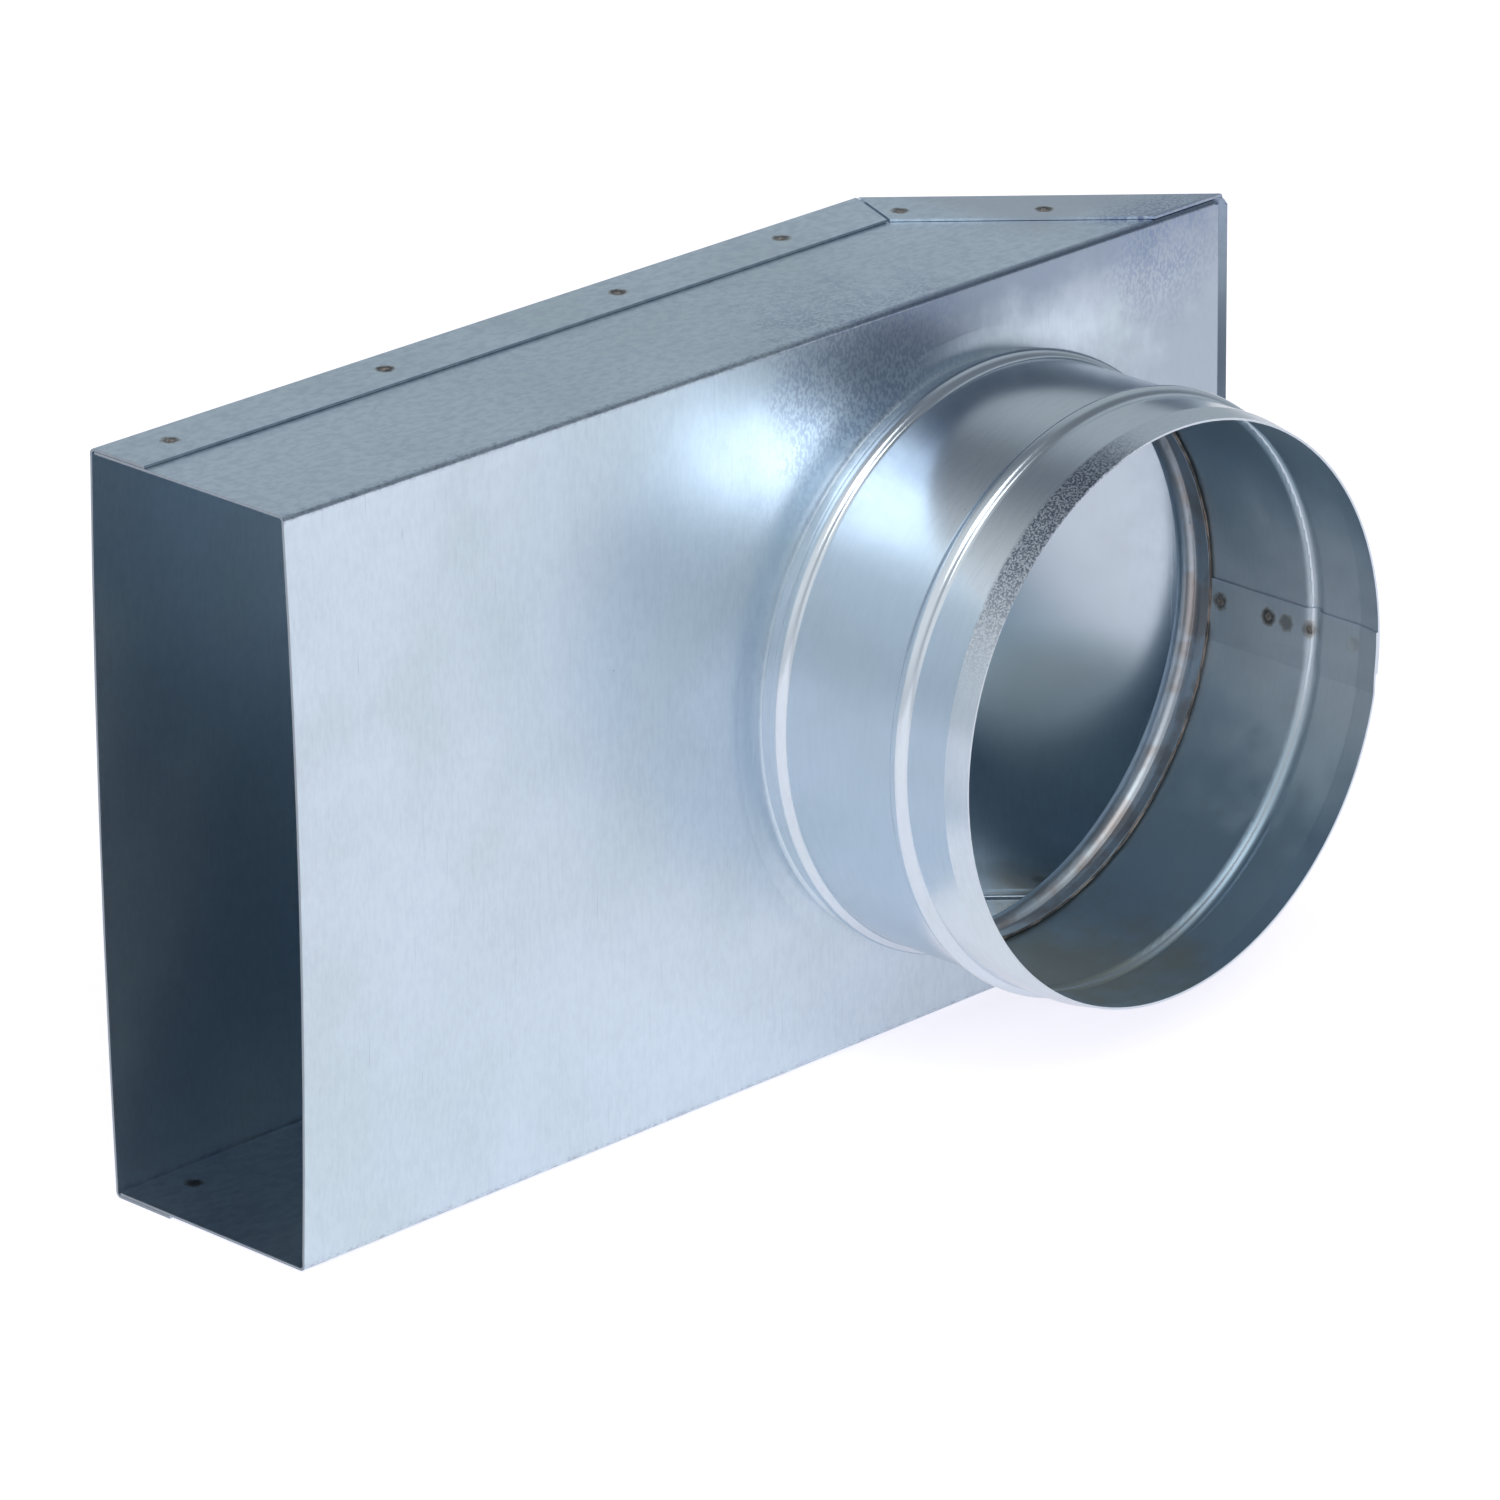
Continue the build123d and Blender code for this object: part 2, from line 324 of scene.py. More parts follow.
def scorched(tree, position, colour, places, heats):
    """The colour with a burnt spot at each of these places, and how burnt it is."""
    uneven = lumps(tree, position, SCORCH_LUMPS, detail=2.0)
    swing = [uneven, SCORCH_SWING, -SCORCH_SWING / 2]
    shift = add(tree, "ShaderNodeMath", swing, operation="MULTIPLY_ADD")
    burnt = 0.0
    for place, heat in zip(places, heats):
        away = add(tree, "ShaderNodeVectorMath", [position, tuple(place)], operation="DISTANCE")
        edge = add(tree, "ShaderNodeMath", [away, shift])
        limits = [SCORCH_CORE, SCORCH_REACH, heat, 0.0]
        spot = add(tree, "ShaderNodeMapRange", [edge, *limits], **SMOOTH)
        burnt = add(tree, "ShaderNodeMath", [burnt, spot], operation="MAXIMUM")
    colour = toned(tree, colour, SCORCH_STRAW, burnt, SCORCH_STRAW_LIMITS)
    return toned(tree, colour, SCORCH_BROWN, burnt, SCORCH_BROWN_LIMITS), burnt


print("scorch colours:", SCORCH_BROWN, SCORCH_STRAW)

# %% [markdown]
# ## Hot-dip zinc on the folded box
#
# The real finish is steel sheet dipped in molten zinc and rolled smooth. To the eye it is a
# pale blue-grey metal with a wide, soft shine. Roughness of about a third blurs its
# reflections as fresh zinc does. Two layers of bump follow: slow waves that folding left in
# the panels, and the crystals, only a few thousandths of a millimetre high. The flanges on
# top show a coarser mottle than the panels. The slanted wall is a little smoother than the
# rest, and all but its lowest part carries painted shade, a darker tone.
#
# The next three code cells make what belongs to places on the box. A mark is a function
# that takes a colour and gives it back with the mark over it.
#
# The two folds of the front panel come first. There the coating cracks, which shows as a
# line of dark specks. Under the upper fold, round the spigot and beyond it, the real panel
# bends a little more softly and mirrors a darker part of the room. It is flat in the model,
# so a darker tone stands in for that. At the open end, the shears left bare steel.

# %% Marks of folding and shearing
FLANGE_TOP = 100.0
FOLD_REACH = 2.4
CRACK = (1.4, 0.6, 0.6)
CRACK_TONE = "#7B8797"
CRACK_LIMITS = (0.46, 0.68, 0.0, 0.4)
FOLD_SHADE = "#8795A8"
FOLD_SHADE_SWING = 16.0
FOLD_SHADE_HEIGHTS = (mid_height + 78.0, mid_height + 96.0)
FOLD_SHADE_STRENGTH = 0.85
FOLD_SHADE_SIDE = (0.0, 60.0, 0.0, 1.0)
EDGE_TONE = "#7A828B"


def fold_cracks(tree, position, y, height, colour):
    """The colour with dark specks along the two folds of the front panel."""
    limits = [FLANGE_TOP - FOLD_REACH, FLANGE_TOP - 1.0]
    folded = add(tree, "ShaderNodeMapRange", [height, *limits], **SMOOTH)
    folded = faded(tree, folded, y, (front_face + 1.0, front_face + FOLD_REACH, 1.0, 0.0))
    cracked = faded(tree, folded, lumps(tree, position, CRACK), CRACK_LIMITS)
    return add(tree, "ShaderNodeMix", [cracked, colour, linear(CRACK_TONE)], **COLOURS)


def fold_shade(tree, ragged, x, y, z, colour):
    """The colour with a darker band under the upper fold, round the spigot and beyond it."""
    swing = [ragged, FOLD_SHADE_SWING, -FOLD_SHADE_SWING / 2]
    swing = add(tree, "ShaderNodeMath", swing, operation="MULTIPLY_ADD")
    ragged_z = add(tree, "ShaderNodeMath", [z, swing])
    limits = [*FOLD_SHADE_HEIGHTS, 0.0, FOLD_SHADE_STRENGTH]
    amount = add(tree, "ShaderNodeMapRange", [ragged_z, *limits], **SMOOTH)
    amount = faded(tree, amount, x, FOLD_SHADE_SIDE)
    amount = faded(tree, amount, y, (front_face + 0.8, front_face + 2.4, 1.0, 0.0))
    return add(tree, "ShaderNodeMix", [amount, colour, linear(FOLD_SHADE)], **COLOURS)


def cut_edge(tree, x, colour):
    """The colour with bare, darker steel on the sheared edges at the open end."""
    return toned(tree, colour, EDGE_TONE, x, (open_end + 0.02, open_end + 0.12, 0.75, 0.0))


print("folds crack over", FOLD_REACH, "mm")

# %% [markdown]
# ### Films and painted shade on the box
#
# Damp left a bluish patina in two places by the upper fold, grainy like the zinc under it.
# Its grain is a little coarser than the real one, so that the picture can show it. The
# corner beside the spigot gets painted shade, a darker tone that fades out round a place.
# Inside the box, water stood at the foot of the slanted wall, so that film lies only on
# faces that look up. Drawing oil left a thin brownish film on the neck, which is also a
# little rougher.

# %% Films and painted shade on the box
PATINA = "#7A8BAC"
PATINA_GRAIN = (0.9, 0.9, 1.4)
PATINA_LIMITS = (0.40, 0.60, 0.1, 1.0)
PATINA_PLACES = (((148.0, 0.7, 196.0), 32.0, 0.95), ((30.0, 0.7, 186.0), 50.0, 0.5))
PANEL_PAINTED_SHADE = "#A9B4C2"
PANEL_PAINTED_SHADE_PLACE = (168.0, 0.7, 160.0)
FOOT_STAIN = "#A39C8C"
FOOT_STAIN_PLACE = (126.0, 28.0, -16.0)
LOOKS_UP = (0.3, 0.7, 0.0, 1.0)
NECK_DEPTHS = (front_face - 7.0, front_face - 1.0)
NECK_STAIN = "#ABA19D"
NECK_STAIN_LIMITS = (0.42, 0.6, 0.3, 0.85)
NECK_ROUGHER = 0.1


def patina_and_shade(tree, position, ragged, colour):
    """The colour with two patches of bluish patina and painted shade on a corner."""
    grain = lumps(tree, position, PATINA_GRAIN)
    for place, reach, strongest in PATINA_PLACES:
        covered = film(tree, position, ragged, place, reach, strongest)
        covered = faded(tree, covered, grain, PATINA_LIMITS)
        colour = add(tree, "ShaderNodeMix", [covered, colour, linear(PATINA)], **COLOURS)
    # Painted shade: the corner beside the spigot is darkened round a place, like a film.
    shaded = film(tree, position, ragged, PANEL_PAINTED_SHADE_PLACE, reach=75.0, strongest=0.8)
    return add(tree, "ShaderNodeMix", [shaded, colour, linear(PANEL_PAINTED_SHADE)], **COLOURS)


def foot_stain(tree, position, ragged, colour):
    """The colour with a water stain on faces that look up, at the foot of the slanted wall."""
    facing = add(tree, "ShaderNodeNewGeometry").node.outputs["True Normal"]
    facing_up = add(tree, "ShaderNodeSeparateXYZ", [facing]).node.outputs["Z"]
    stained = film(tree, position, ragged, FOOT_STAIN_PLACE, reach=34.0, strongest=0.9)
    stained = faded(tree, stained, facing_up, LOOKS_UP)
    return add(tree, "ShaderNodeMix", [stained, colour, linear(FOOT_STAIN)], **COLOURS)


def neck_stain(tree, ragged, y, colour):
    """The colour with a thin brownish film on the neck, and where the neck is."""
    drawn = add(tree, "ShaderNodeMapRange", [y, *NECK_DEPTHS, 1.0, 0.0], **SMOOTH)
    amount = faded(tree, drawn, ragged, NECK_STAIN_LIMITS)
    return add(tree, "ShaderNodeMix", [amount, colour, linear(NECK_STAIN)], **COLOURS), drawn


print("patina in", len(PATINA_PLACES), "places")

# %% [markdown]
# ### The slanted wall
#
# Seen through the mouth, the slanted wall mirrors the pale room above and the dark box
# below, and the line between the two lies higher than a flat wall would put it. The real
# wall bulges softly above its middle. It is flat in the model, so a bump does that. The
# bump's strength carries the mask, because a mask on its height would draw false edges.
# A darker tone on all but the wall's lowest part is painted shade, dimming the room it mirrors.

# %% Bulge and painted shade of the slanted wall
BULGE_HEIGHT = 1.3
BULGE_RISE = (mid_height - 85.0, mid_height - 20.0)
WALL_BEND = (100.0, 120.0, 0.0, 1.0)
WALL_DEPTHS = (front_face + 4.0, front_face + 22.0)
WALL_PAINTED_SHADE = "#B8C2CD"
WALL_PAINTED_SHADE_LIMITS = (30.0, 75.0, 0.0, 0.8)
WALL_SMOOTHER = 0.13


def slanted_wall(tree, x, y):
    """Where the slanted wall is, from 0 to 1."""
    off_panel = add(tree, "ShaderNodeMapRange", [y, *WALL_DEPTHS], **SMOOTH)
    return faded(tree, off_panel, x, WALL_BEND)


def wall_bulge(tree, on_wall, z, below):
    """The slanted wall's soft bulge above its middle, as a bump over another one."""
    upper = add(tree, "ShaderNodeMapRange", [z, *BULGE_RISE], **SMOOTH)
    inputs = {"Strength": on_wall, "Distance": BULGE_HEIGHT * MM, "Height": upper}
    return add(tree, "ShaderNodeBump", {**inputs, "Normal": below})


print("the wall bulges by", BULGE_HEIGHT, "mm")

# %% [markdown]
# ### The box's finish
#
# Now the layers come together: the coating, then each mark over it, and the burnt spots
# last. Roughness follows the clouds, and is raised on the neck and where the zinc is burnt.

# %% Sizes and tones of the box's zinc
BOX_TONES = ("#D2E0EB", "#C1CFDD", "#CCDBDF")
BOX_CRYSTALS = (1.1, 1.1, 4.0)
BOX_CONTRAST = 0.45
BOX_ROUGHNESS = (0.30, 0.37)
BOX_SCRATCH_TURN = (0.0, math.radians(11), 0.0)
MOTTLE = (3.4, 2.2, 3.4)
MOTTLE_TONE = "#A7B1C4"
MOTTLE_LIMITS = (0.36, 0.68, 0.0, 0.34)
CRYSTAL_HEIGHT = 0.003
WAVE = (90.0, 90.0, 90.0)
WAVE_HEIGHT = 0.45
ROUGHNESS_CLOUD = (0.35, 0.65)
OUT_OF_REACH = 40.0
print("roughness from", BOX_ROUGHNESS[0], "to", BOX_ROUGHNESS[1])


# %% Zinc on the box
def flange_mottle(tree, position, height, colour):
    """The colour with a coarse mottle, which is weaker on the panels than on the flanges."""
    mottle = lumps(tree, position, MOTTLE, detail=2.0)
    mottle = add(tree, "ShaderNodeMapRange", [mottle, *MOTTLE_LIMITS], **SMOOTH)
    mottle = faded(tree, mottle, height, (FLANGE_TOP - 2.5, FLANGE_TOP - 1.0, 0.2, 1.0))
    return add(tree, "ShaderNodeMix", [mottle, colour, linear(MOTTLE_TONE)], **COLOURS)


def make_box_zinc():
    """Hot-dip zinc coated steel, folded: pale, blurred and slightly wavy."""
    material, tree = new_material("hot_dip_zinc_on_folded_steel")
    position = position_in_mm(tree)
    x, y, z = add(tree, "ShaderNodeSeparateXYZ", [position]).node.outputs
    height = add(tree, "ShaderNodeMath", [z, mid_height], operation="SUBTRACT")
    height = add(tree, "ShaderNodeMath", [height], operation="ABSOLUTE")
    ragged = lumps(tree, position, RAGGED, detail=3.0)

    colour, crystal, cloud = zinc_coating(tree, position, BOX_CRYSTALS, BOX_TONES, BOX_CONTRAST)
    colour = handling_marks(tree, position, colour, BOX_SCRATCH_TURN)
    colour = flange_mottle(tree, position, height, colour)
    colour = fold_shade(tree, ragged, x, y, z, colour)
    colour = patina_and_shade(tree, position, ragged, colour)
    colour = foot_stain(tree, position, ragged, colour)
    colour, drawn = neck_stain(tree, ragged, y, colour)
    colour = fold_cracks(tree, position, y, height, colour)
    colour = cut_edge(tree, x, colour)
    on_wall = slanted_wall(tree, x, y)
    # Painted shade: a darker tone over all but the lowest part of the slanted wall
    duller = faded(tree, on_wall, z, WALL_PAINTED_SHADE_LIMITS)
    colour = add(tree, "ShaderNodeMix", [duller, colour, linear(WALL_PAINTED_SHADE)], **COLOURS)

    # The distance to a weld is measured in plan, so what lies between the laps is moved away
    limits = [FLANGE_TOP - 4.0, FLANGE_TOP - 3.0, OUT_OF_REACH, 0.0]
    off_laps = add(tree, "ShaderNodeMapRange", [height, *limits], **SMOOTH)
    plan = add(tree, "ShaderNodeCombineXYZ", [x, y, off_laps])
    colour, burnt = scorched(tree, plan, colour, lap_welds, lap_heat)

    shine = [cloud, *ROUGHNESS_CLOUD, *BOX_ROUGHNESS]
    shine = add(tree, "ShaderNodeMapRange", shine, **SMOOTH)
    shine = add(tree, "ShaderNodeMath", [drawn, NECK_ROUGHER, shine], operation="MULTIPLY_ADD")
    dull = add(tree, "ShaderNodeMath", [burnt, SCORCH_ROUGHNESS], operation="MULTIPLY")
    roughness = add(tree, "ShaderNodeMath", [shine, dull], operation="MAXIMUM")
    smoother = [on_wall, -WALL_SMOOTHER, roughness]
    roughness = add(tree, "ShaderNodeMath", smoother, operation="MULTIPLY_ADD")

    waves = lumps(tree, position, WAVE, detail=0.0)
    wavy = add(tree, "ShaderNodeBump", {"Distance": WAVE_HEIGHT * MM, "Height": waves})
    bulged = wall_bulge(tree, on_wall, z, wavy)
    inputs = {"Distance": CRYSTAL_HEIGHT * MM, "Height": crystal, "Normal": bulged}
    grainy = add(tree, "ShaderNodeBump", inputs)
    inputs = {"Base Color": colour, "Metallic": 1.0, "Roughness": roughness, "Normal": grainy}
    metal = add(tree, "ShaderNodeBsdfPrincipled", inputs)
    add(tree, "ShaderNodeOutputMaterial", [metal])
    return material


box_zinc = make_box_zinc()
print(box_zinc.name, "has", len(box_zinc.node_tree.nodes), "nodes")

# %% [markdown]
# ## The rolled spigot
#
# The spigot was rolled and beaded between steel wheels. They polish the zinc, so it shines
# more than the box, and they pull the grain round the axis. A pattern that runs round an
# axis needs its own coordinates: the way round, the way along, and the distance from the
# axis. The jump in the angle is put at the seam, where the real sheet ends too.


# %% Coordinates that run round the spigot
def wound_position(tree, position):
    """Way round, along and out from the spigot's axis, the way along, and the plain offset."""
    centre = tuple(spigot_centre)
    offset = add(tree, "ShaderNodeVectorMath", [position, centre], operation="SUBTRACT")
    flipped = add(tree, "ShaderNodeVectorMath", [offset, (-1, -1, -1)], operation="MULTIPLY")
    x, y, z = add(tree, "ShaderNodeSeparateXYZ", [flipped]).node.outputs
    angle = add(tree, "ShaderNodeMath", [z, x], operation="ARCTAN2")
    way_round = add(tree, "ShaderNodeMath", [angle, SPIGOT_RADIUS], operation="MULTIPLY")
    across = add(tree, "ShaderNodeCombineXYZ", [x, 0.0, z])
    radius = add(tree, "ShaderNodeVectorMath", [across], operation="LENGTH")
    return add(tree, "ShaderNodeCombineXYZ", [way_round, y, radius]), y, offset


print("the way round the spigot is", round(2 * math.pi * SPIGOT_RADIUS), "mm")

# %% [markdown]
# ### The tapered mouth
#
# A knurled wheel squeezed the tapered mouth, which roughens it: deeper bumps and dark pits
# show there as speckles. The wheel pressed hardest at the upper left, so the speckles fade
# out towards the right and below. The pits are drawn 0.55 mm wide, a little coarser than
# the real ones, so that the picture can show them.

# %% Pits of the knurled wheel
TAPER_EDGE = (65.2, 66.6)
TAPER_DULLER = 0.2
PITS = (0.55, 0.55, 0.55)
PIT_HEIGHT = 0.05
PIT_TONE = "#687180"
PIT_LIMITS = (0.40, 0.58, 0.35, 1.0)
PRESSED_ABOVE = (22.0, 60.0, 0.05, 1.0)
PRESSED_LEFT = (-32.0, -6.0, 1.0, 0.1)


def knurled_mouth(tree, wound, reach, offset, colour):
    """The colour with pits on the tapered mouth, where they are, and their pattern."""
    on_taper = add(tree, "ShaderNodeMapRange", [reach, *TAPER_EDGE], **SMOOTH)
    parts = add(tree, "ShaderNodeSeparateXYZ", [offset]).node.outputs
    on_taper = faded(tree, on_taper, parts["Z"], PRESSED_ABOVE)
    on_taper = faded(tree, on_taper, parts["X"], PRESSED_LEFT)
    pits = lumps(tree, wound, PITS)
    dark = faded(tree, on_taper, pits, PIT_LIMITS)
    colour = add(tree, "ShaderNodeMix", [dark, colour, linear(PIT_TONE)], **COLOURS)
    return colour, on_taper, pits


print("pits", PITS[0], "mm wide")

# %% [markdown]
# ### Inside the spigot
#
# The inside wasn't polished by the wheels, so it is duller than the outside. It also has
# painted shade: a darker bluish tone, weakest at middle height and strongest towards the
# top and bottom. Low down inside the mouth lies a faint yellowish stain. At the right, a
# bloom of zinc oxide dulls the metal: oxide scatters light instead of mirroring it, so
# there the surface is partly no metal at all.

# %% Films and painted shade inside the spigot
TOWARDS_AXIS = (-20.0, 0.0, 1.0, 0.0)
INSIDE_DULLER = 0.32
INSIDE_PAINTED_SHADE = "#8FAFC2"
INSIDE_PAINTED_SHADE_LIMITS = (8.0, 55.0, 0.15, 0.65)
STAIN = "#A39F8A"
STAIN_PLACE = (66.0, -44.0, 22.0)
STAIN_REACH = 46.0
STAIN_STRENGTH = 0.6
STAIN_DULLER = 0.15
BLOOM_PLACE = (152.0, -56.0, 92.0)
BLOOM_REACH = 62.0
BLOOM_STRENGTH = 0.55


def inner_side(tree, offset):
    """Where the inside is: the faces that look at their own axis."""
    normal = add(tree, "ShaderNodeNewGeometry").node.outputs["True Normal"]
    facing = add(tree, "ShaderNodeVectorMath", [normal, offset], operation="DOT_PRODUCT")
    return add(tree, "ShaderNodeMapRange", [facing, *TOWARDS_AXIS], **SMOOTH)


def inner_shade_and_stain(tree, position, ragged, offset, inside, colour):
    """The colour with painted shade inside and its stain, and how strong the stain is."""
    height = add(tree, "ShaderNodeSeparateXYZ", [offset]).node.outputs["Z"]
    height = add(tree, "ShaderNodeMath", [height], operation="ABSOLUTE")
    # Painted shade on the inside, stronger away from the middle height
    shaded = faded(tree, inside, height, INSIDE_PAINTED_SHADE_LIMITS)
    colour = add(tree, "ShaderNodeMix", [shaded, colour, linear(INSIDE_PAINTED_SHADE)], **COLOURS)
    stained = film(tree, position, ragged, STAIN_PLACE, STAIN_REACH, STAIN_STRENGTH)
    stained = add(tree, "ShaderNodeMath", [stained, inside], operation="MULTIPLY")
    return add(tree, "ShaderNodeMix", [stained, colour, linear(STAIN)], **COLOURS), stained


def still_metal(tree, position, ragged, inside):
    """How much of the surface is bare metal, where the bloom of zinc oxide lies."""
    bloom = film(tree, position, ragged, BLOOM_PLACE, BLOOM_REACH, BLOOM_STRENGTH)
    bloom = add(tree, "ShaderNodeMath", [bloom, inside], operation="MULTIPLY")
    return add(tree, "ShaderNodeMath", [1.0, bloom], operation="SUBTRACT")


print("bloom reaches", BLOOM_REACH, "mm")

# %% [markdown]
# ### The spigot's finish
#
# The same coating as on the box, but wound round the axis, brighter and with a sharper
# shine. The seam's welds are burnt brown, as on the laps.

# %% Zinc on the spigot
SPIGOT_TONES = ("#D4DDE6", "#C5CFDA", "#CDD7DB")
SPIGOT_CRYSTALS = (6.0, 1.0, 1.0)
SPIGOT_CONTRAST = 0.4
SPIGOT_ROUGHNESS = (0.17, 0.23)
SPIGOT_SCRATCH_TURN = (math.radians(70), 0.0, math.radians(8))
SPIGOT_GRAIN_HEIGHT = 0.0025


def make_spigot_zinc():
    """Zinc coated steel, rolled and beaded: brighter, with the grain round the axis."""
    material, tree = new_material("rolled_zinc_coated_steel")
    position = position_in_mm(tree)
    wound, reach, offset = wound_position(tree, position)
    ragged = lumps(tree, position, RAGGED, detail=3.0)
    inside = inner_side(tree, offset)

    coating = zinc_coating(tree, wound, SPIGOT_CRYSTALS, SPIGOT_TONES, SPIGOT_CONTRAST)
    colour, crystal, cloud = coating
    colour = handling_marks(tree, wound, colour, SPIGOT_SCRATCH_TURN)
    colour, on_taper, pits = knurled_mouth(tree, wound, reach, offset, colour)
    colour, stained = inner_shade_and_stain(tree, position, ragged, offset, inside, colour)
    colour, burnt = scorched(tree, position, colour, seam_welds, SEAM_HEAT)

    shine = [cloud, *ROUGHNESS_CLOUD, *SPIGOT_ROUGHNESS]
    shine = add(tree, "ShaderNodeMapRange", shine, **SMOOTH)
    for where, duller in (
        (on_taper, TAPER_DULLER),
        (inside, INSIDE_DULLER),
        (stained, STAIN_DULLER),
    ):
        shine = add(tree, "ShaderNodeMath", [where, duller, shine], operation="MULTIPLY_ADD")
    dull = add(tree, "ShaderNodeMath", [burnt, SCORCH_ROUGHNESS], operation="MULTIPLY")
    roughness = add(tree, "ShaderNodeMath", [shine, dull], operation="MAXIMUM")

    inputs = {"Distance": SPIGOT_GRAIN_HEIGHT * MM, "Height": crystal}
    grainy = add(tree, "ShaderNodeBump", inputs)
    inputs = {"Strength": on_taper, "Distance": PIT_HEIGHT * MM, "Height": pits}
    knurled = add(tree, "ShaderNodeBump", {**inputs, "Normal": grainy})
    bare = still_metal(tree, position, ragged, inside)
    inputs = {"Base Color": colour, "Metallic": bare, "Roughness": roughness, "Normal": knurled}
    metal = add(tree, "ShaderNodeBsdfPrincipled", inputs)
    add(tree, "ShaderNodeOutputMaterial", [metal])
    return material


spigot_zinc = make_spigot_zinc()
print(spigot_zinc.name, "has", len(spigot_zinc.node_tree.nodes), "nodes")

# %% [markdown]
# Each piece of the model has one material slot, which gets its finish.

# %% Put the finishes on the sheets
for name, material in (
    ("front_shell", box_zinc),
    ("back_cover", box_zinc),
    ("round_spigot", spigot_zinc),
):
    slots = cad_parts[name].material_slots
    for slot in slots:
        slot.material = material
    print(name, "carries", material.name, "in", len(slots), "slot")

# %% [markdown]
# ## Weld residue
#
# Where the copper electrodes stood, a little burnt metal stays in each dent: a flat, uneven
# crumb, paler than the scorch round it. Sixteen such crumbs are the same form again and
# again, each a little different, which is work for Geometry Nodes: a small ball is
# flattened, put on every weld, turned to face out of its sheet, and pushed in and out by
# noise. Each crumb lies in its dent, below the face of the sheet.

# %% Where the crumbs lie
CRUMB_RADIUS = 1.05
CRUMB_THICKNESS = 0.09
CRUMB_SINK = 0.08
LAP_DENT = 0.25
SEAM_DENT = 0.20

crumb_places = []
for side in (1, -1):
    face = mid_height + side * (cover_high.z - cover_low.z) / 2
    for weld in lap_welds:
        place = Vector((weld.x, weld.y, face - side * (LAP_DENT - CRUMB_SINK)))
        crumb_places.append((place, Vector((0, 0, side))))
for weld in seam_welds[:-1]:
    crumb_places.append((weld + seam_outward * (SEAM_DENT - CRUMB_SINK), -seam_outward))

crumb_points = bpy.data.meshes.new("weld_residue")
crumb_points.from_pydata([place * MM for place, facing in crumb_places], [], [])
facings = crumb_points.attributes.new("facing", "FLOAT_VECTOR", "POINT")
for item, (place, facing) in zip(facings.data, crumb_places):
    item.vector = facing
crumbs = bpy.data.objects.new("weld_residue", crumb_points)
bpy.context.scene.collection.objects.link(crumbs)
print(len(crumb_places), "crumbs")

# %% [markdown]
# Every Geometry Nodes tree here begins and ends in the same way: it has a geometry and a few
# named sizes coming in, and ends with Realize Instances and Set Material. One function makes
# the empty tree with its inputs, a second closes it, and a third runs it on an object and
# keeps the result as a plain mesh.


# %% Start, end and use of a Geometry Nodes tree
def new_geometry_tree(name, sizes):
    """A Geometry Nodes tree with a geometry and these named numbers as its inputs."""
    tree = bpy.data.node_groups.new(name, "GeometryNodeTree")
    tree.interface.new_socket("Geometry", in_out="INPUT", socket_type="NodeSocketGeometry")
    for label in sizes:
        kind = "NodeSocketInt" if label == "Seed" else "NodeSocketFloat"
        tree.interface.new_socket(label, in_out="INPUT", socket_type=kind)
    tree.interface.new_socket("Material", in_out="INPUT", socket_type="NodeSocketMaterial")
    tree.interface.new_socket("Geometry", in_out="OUTPUT", socket_type="NodeSocketGeometry")
    return tree, add(tree, "NodeGroupInput").node.outputs


def close_geometry_tree(tree, geometry, material):
    """Ends the tree with real geometry that carries the material."""
    real = add(tree, "GeometryNodeRealizeInstances", [geometry])
    painted = add(tree, "GeometryNodeSetMaterial", {"Geometry": real, "Material": material})
    add(tree, "NodeGroupOutput", [painted])


def run_geometry_tree(thing, tree, sizes, material):
    """Runs the tree on an object and keeps the result as its plain mesh."""
    modifier = thing.modifiers.new(tree.name, "NODES")
    modifier.node_group = tree
    values = {**sizes, "Material": material}
    for item in tree.interface.items_tree:
        if item.in_out == "INPUT" and item.name in values:
            modifier[item.identifier] = values[item.name]
    evaluated = thing.evaluated_get(bpy.context.evaluated_depsgraph_get())
    mesh = bpy.data.meshes.new_from_object(evaluated)
    thing.modifiers.clear()
    thing.data = mesh
    mesh.name = thing.name
    print(thing.name, "has", len(mesh.polygons), "faces")


print("three helpers for Geometry Nodes")

# %% [markdown]
# The residue is zinc oxide and brass, burnt on: rough and matt, grey-brown, so it reflects
# almost nothing sharply.

# %% Burnt residue
RESIDUE_TONES = ("#9E9791", "#675F5A", "#B7B1AD")
RESIDUE_MOTTLE = (0.8, 0.8, 0.8)
RESIDUE_DARK = (0.4, 0.6, 0.0, 1.0)
RESIDUE_PALE = (0.56, 0.7, 0.0, 0.8)
RESIDUE_HEIGHT = 0.03


def make_residue():
    """Burnt brass and zinc oxide: rough, and grey-brown with paler and darker spots."""
    material, tree = new_material("burnt_brass_and_zinc_oxide")
    base, dark, pale = RESIDUE_TONES
    mottle = lumps(tree, position_in_mm(tree), RESIDUE_MOTTLE, detail=2.0)
    colour = toned(tree, linear(base), dark, mottle, RESIDUE_DARK)
    colour = toned(tree, colour, pale, mottle, RESIDUE_PALE)
    uneven = add(tree, "ShaderNodeBump", {"Distance": RESIDUE_HEIGHT * MM, "Height": mottle})
    inputs = {"Base Color": colour, "Metallic": 0.3, "Roughness": 0.75, "Normal": uneven}
    crust = add(tree, "ShaderNodeBsdfPrincipled", inputs)
    add(tree, "ShaderNodeOutputMaterial", [crust])
    return material


residue = make_residue()
print(residue.name)

# %% [markdown]
# The crumbs' tree first notes each weld's place in an attribute. Once the balls are real,
# that place tells noise which way is outwards.

# %% Crumbs on the welds
CRUMB_LUMPS_PER_MM = 0.55
crumb_sizes = {
    "Radius": CRUMB_RADIUS * MM,
    "Thickness": CRUMB_THICKNESS * MM,
    "Unevenness": 2.2,
    "Seed": 7,
}
VECTORS = {"data_type": "FLOAT_VECTOR"}

